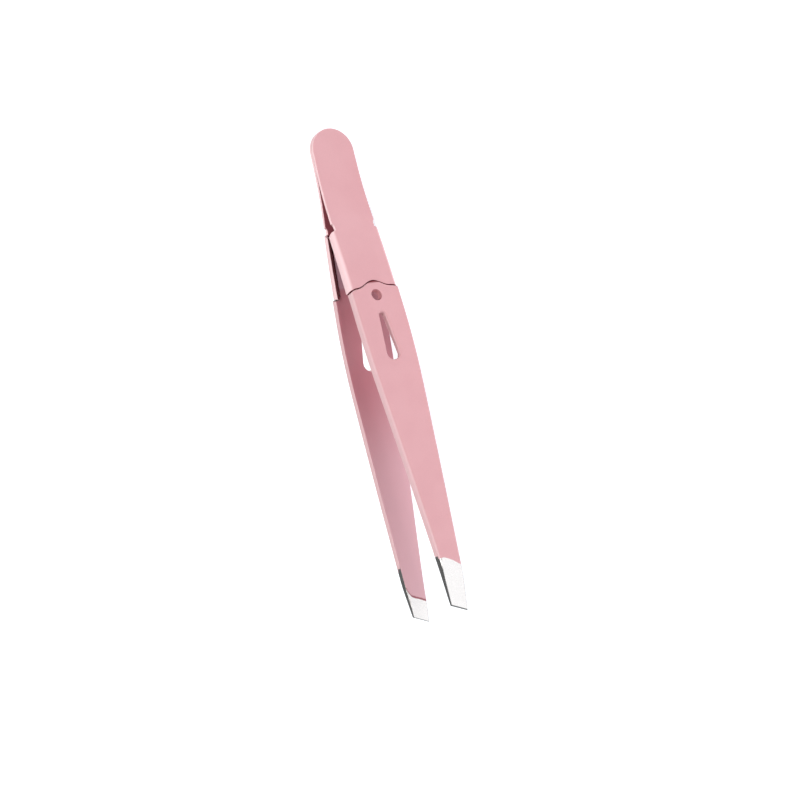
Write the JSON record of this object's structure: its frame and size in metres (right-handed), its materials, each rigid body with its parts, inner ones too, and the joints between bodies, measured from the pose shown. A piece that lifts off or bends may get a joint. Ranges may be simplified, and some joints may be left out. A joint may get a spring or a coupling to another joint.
{
  "type": "slant tweezers",
  "caption": "Coated steel tweezers with slanted bare tips: arms joined at a flat round head spring open and are squeezed shut to grip fine hairs.",
  "frame": {"origin": "middle of the bounding box: half-way along the tool, on the mid-plane between the arms, at mid width", "axes": "+X towards the joined head end with the tips at -X, +Y from the front arm to the rear arm, +Z across the arms' width towards the short corner of the slanted tips; the tool lies on the blades' lower edges"},
  "size_m": [0.095, 0.015, 0.0108],
  "materials": {
    "leaf_coating": "satin pink lacquer on spring steel",
    "blade_coating": "satin pink lacquer, ground bare steel at the tips",
    "weld_steel": "fused metal of spot welds"
  },
  "bodies": {
    "head": {"front_leaf_tongue": "leaf_coating", "rear_leaf_tongue": "leaf_coating", "head_welds": "weld_steel"},
    "front_arm": {"front_leaf_sleeve": "leaf_coating", "front_blade": "blade_coating", "front_tail_welds": "weld_steel"},
    "rear_arm": {"rear_leaf_sleeve": "leaf_coating", "rear_blade": "blade_coating", "rear_tail_welds": "weld_steel"}
  },
  "joints": [
    {"name": "front_flex", "type": "hinge", "parent": "head", "child": "front_arm", "pos_m": [0.0292, -0.0012, 0], "axis": [0, 0, -1], "range_deg": [0, 4.82], "stiffness_Nm_per_rad": 1.5},
    {"name": "rear_flex", "type": "hinge", "parent": "head", "child": "rear_arm", "pos_m": [0.0292, 0.0012, 0], "axis": [0, 0, 1], "range_deg": [0, 4.82], "stiffness_Nm_per_rad": 1.5}
  ],
  "couplings": [
    {"joint": "rear_flex", "follows": "front_flex", "ratio": 1}
  ]
}
